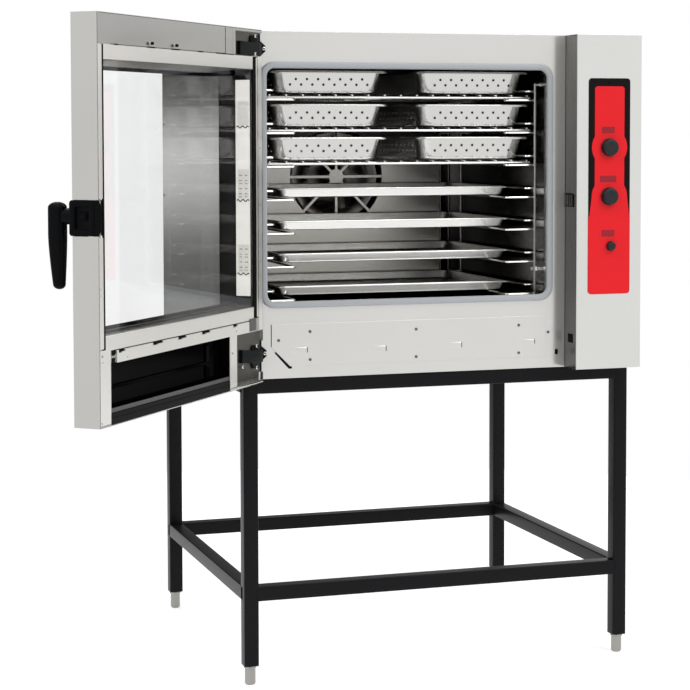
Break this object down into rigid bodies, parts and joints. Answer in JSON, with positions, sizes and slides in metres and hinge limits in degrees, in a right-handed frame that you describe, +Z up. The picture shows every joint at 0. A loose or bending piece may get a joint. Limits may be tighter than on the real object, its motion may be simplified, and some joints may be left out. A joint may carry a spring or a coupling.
{
  "type": "combi oven on stand",
  "caption": "Full-size combi oven with an open glass door, pans on wire racks and a red control panel, on an open stand of black square tube with levelling feet.",
  "frame": {"origin": "centre of the whole part's footprint, door open, at floor level", "axes": "+Z up, -Y towards the cook, +X towards the control column"},
  "size_m": [1.6584, 1.6634, 1.667],
  "materials": {
    "body_steel": "brushed stainless sheet",
    "bright_steel": "bright stainless wire and pressings",
    "cavity_steel": "stainless sheet, dulled by heat",
    "black_paint": "black powder coat",
    "hinge_black": "black coated casting",
    "black_plastic": "black moulding",
    "panel_red": "printed red foil, gloss",
    "seal_rubber": "grey silicone",
    "clear_glass": "clear toughened pane",
    "motor_grey": "grey motor casing",
    "board_green": "circuit board"
  },
  "bodies": {
    "oven": {"air_baffle": "cavity_steel", "back_cover": "body_steel", "base_pan": "body_steel", "cavity_liner": "cavity_steel", "control_board": "board_green", "control_column": "body_steel", "door_seal": "seal_rubber", "drain_pipe": "cavity_steel", "fan_motor": "motor_grey", "fascia": "body_steel", "heater": "cavity_steel", "hinge_leaf_bottom": "hinge_black", "hinge_leaf_top": "hinge_black", "latch_keeper": "bright_steel", "lower_front_plate": "body_steel", "panel_face": "panel_red", "panel_plate": "black_plastic", "rack_left": "bright_steel", "rack_right": "bright_steel", "side_left": "body_steel", "side_right": "body_steel", "stand_rail_lower_back": "black_paint", "stand_rail_lower_front": "black_paint", "stand_rail_top_back": "black_paint", "stand_rail_top_front": "black_paint", "stand_side_left": "black_paint", "stand_side_right": "black_paint", "top_cover": "body_steel"},
    "door": {"door_frame": "body_steel", "pane_frame": "bright_steel", "glass_inner": "clear_glass", "glass_outer": "clear_glass", "lower_panel": "black_plastic", "drip_strip": "body_steel", "hinge_arm_bottom": "hinge_black", "hinge_arm_top": "hinge_black", "latch_housing": "black_plastic"},
    "door_lever": {"door_lever": "black_plastic"},
    "latch_tongue": {"latch_tongue": "black_plastic"},
    "fan": {"fan": "cavity_steel"},
    "foot_back_left": {"foot_back_left": "bright_steel"},
    "foot_back_right": {"foot_back_right": "bright_steel"},
    "foot_front_left": {"foot_front_left": "bright_steel"},
    "foot_front_right": {"foot_front_right": "bright_steel"},
    "hotel_pan_high_left": {"hotel_pan_high_left": "bright_steel"},
    "hotel_pan_high_right": {"hotel_pan_high_right": "bright_steel"},
    "hotel_pan_low_left": {"hotel_pan_low_left": "bright_steel"},
    "hotel_pan_low_right": {"hotel_pan_low_right": "bright_steel"},
    "hotel_pan_middle_left": {"hotel_pan_middle_left": "bright_steel"},
    "hotel_pan_middle_right": {"hotel_pan_middle_right": "bright_steel"},
    "knob_mode": {"knob_mode": "black_plastic"},
    "knob_temperature": {"knob_temperature": "black_plastic"},
    "knob_time": {"knob_time": "black_plastic"},
    "sheet_pan_1": {"sheet_pan_1": "bright_steel"},
    "sheet_pan_2": {"sheet_pan_2": "bright_steel"},
    "sheet_pan_3": {"sheet_pan_3": "bright_steel"},
    "sheet_pan_4": {"sheet_pan_4": "bright_steel"},
    "wire_shelf_high": {"wire_shelf_high": "bright_steel"},
    "wire_shelf_low": {"wire_shelf_low": "bright_steel"},
    "wire_shelf_middle": {"wire_shelf_middle": "bright_steel"}
  },
  "joints": [
    {"name": "door_hinge", "type": "hinge", "parent": "oven", "child": "door", "pos_m": [-0.20775, -0.1653, 1.226], "axis": [0, 0, -1], "range_deg": [-129.6, 0]},
    {"name": "lever_turn", "type": "hinge", "parent": "door", "child": "door_lever", "pos_m": [-0.77837, -0.76721, 1.2345], "axis": [0.7705, -0.6374, 0], "range_deg": [0, 75]},
    {"name": "tongue_slide", "type": "slide", "parent": "door", "child": "latch_tongue", "axis": [0.6374, 0.7705, 0], "range_m": [0, 0.0025]},
    {"name": "knob_mode_turn", "type": "hinge", "parent": "oven", "child": "knob_mode", "pos_m": [0.7352, -0.2163, 1.371], "axis": [0, -1, 0], "continuous": true},
    {"name": "knob_temperature_turn", "type": "hinge", "parent": "oven", "child": "knob_temperature", "pos_m": [0.7352, -0.2163, 1.2425], "axis": [0, -1, 0], "continuous": true},
    {"name": "knob_time_turn", "type": "hinge", "parent": "oven", "child": "knob_time", "pos_m": [0.7401, -0.2163, 1.1115], "axis": [0, -1, 0], "continuous": true},
    {"name": "fan_spin", "type": "hinge", "parent": "oven", "child": "fan", "pos_m": [0.20575, 0.5587, 1.284], "axis": [0, -1, 0], "continuous": true},
    {"name": "wire_shelf_low_slide", "type": "slide", "parent": "oven", "child": "wire_shelf_low", "axis": [0, -1, 0], "range_m": [0, 0.35]},
    {"name": "hotel_pan_low_left_slide", "type": "slide", "parent": "wire_shelf_low", "child": "hotel_pan_low_left", "axis": [0, -1, 0], "range_m": [0, 0.26]},
    {"name": "hotel_pan_low_right_slide", "type": "slide", "parent": "wire_shelf_low", "child": "hotel_pan_low_right", "axis": [0, -1, 0], "range_m": [0, 0.26]},
    {"name": "wire_shelf_middle_slide", "type": "slide", "parent": "oven", "child": "wire_shelf_middle", "axis": [0, -1, 0], "range_m": [0, 0.35]},
    {"name": "hotel_pan_middle_left_slide", "type": "slide", "parent": "wire_shelf_middle", "child": "hotel_pan_middle_left", "axis": [0, -1, 0], "range_m": [0, 0.26]},
    {"name": "hotel_pan_middle_right_slide", "type": "slide", "parent": "wire_shelf_middle", "child": "hotel_pan_middle_right", "axis": [0, -1, 0], "range_m": [0, 0.26]},
    {"name": "wire_shelf_high_slide", "type": "slide", "parent": "oven", "child": "wire_shelf_high", "axis": [0, -1, 0], "range_m": [0, 0.35]},
    {"name": "hotel_pan_high_left_slide", "type": "slide", "parent": "wire_shelf_high", "child": "hotel_pan_high_left", "axis": [0, -1, 0], "range_m": [0, 0.26]},
    {"name": "hotel_pan_high_right_slide", "type": "slide", "parent": "wire_shelf_high", "child": "hotel_pan_high_right", "axis": [0, -1, 0], "range_m": [0, 0.26]},
    {"name": "sheet_pan_1_slide", "type": "slide", "parent": "oven", "child": "sheet_pan_1", "axis": [0, -1, 0], "range_m": [0, 0.38]},
    {"name": "sheet_pan_2_slide", "type": "slide", "parent": "oven", "child": "sheet_pan_2", "axis": [0, -1, 0], "range_m": [0, 0.38]},
    {"name": "sheet_pan_3_slide", "type": "slide", "parent": "oven", "child": "sheet_pan_3", "axis": [0, -1, 0], "range_m": [0, 0.38]},
    {"name": "sheet_pan_4_slide", "type": "slide", "parent": "oven", "child": "sheet_pan_4", "axis": [0, -1, 0], "range_m": [0, 0.38]},
    {"name": "foot_front_left_screw", "type": "hinge", "parent": "oven", "child": "foot_front_left", "pos_m": [-0.2207, -0.11875, 0.025], "axis": [0, 0, 1], "continuous": true},
    {"name": "foot_front_right_screw", "type": "hinge", "parent": "oven", "child": "foot_front_right", "pos_m": [0.8102, -0.11875, 0.025], "axis": [0, 0, 1], "continuous": true},
    {"name": "foot_back_left_screw", "type": "hinge", "parent": "oven", "child": "foot_back_left", "pos_m": [-0.2207, 0.73955, 0.025], "axis": [0, 0, 1], "continuous": true},
    {"name": "foot_back_right_screw", "type": "hinge", "parent": "oven", "child": "foot_back_right", "pos_m": [0.8102, 0.73955, 0.025], "axis": [0, 0, 1], "continuous": true}
  ],
  "couplings": [
    {"joint": "tongue_slide", "follows": "lever_turn", "m_per_rad": 0.001909}
  ]
}
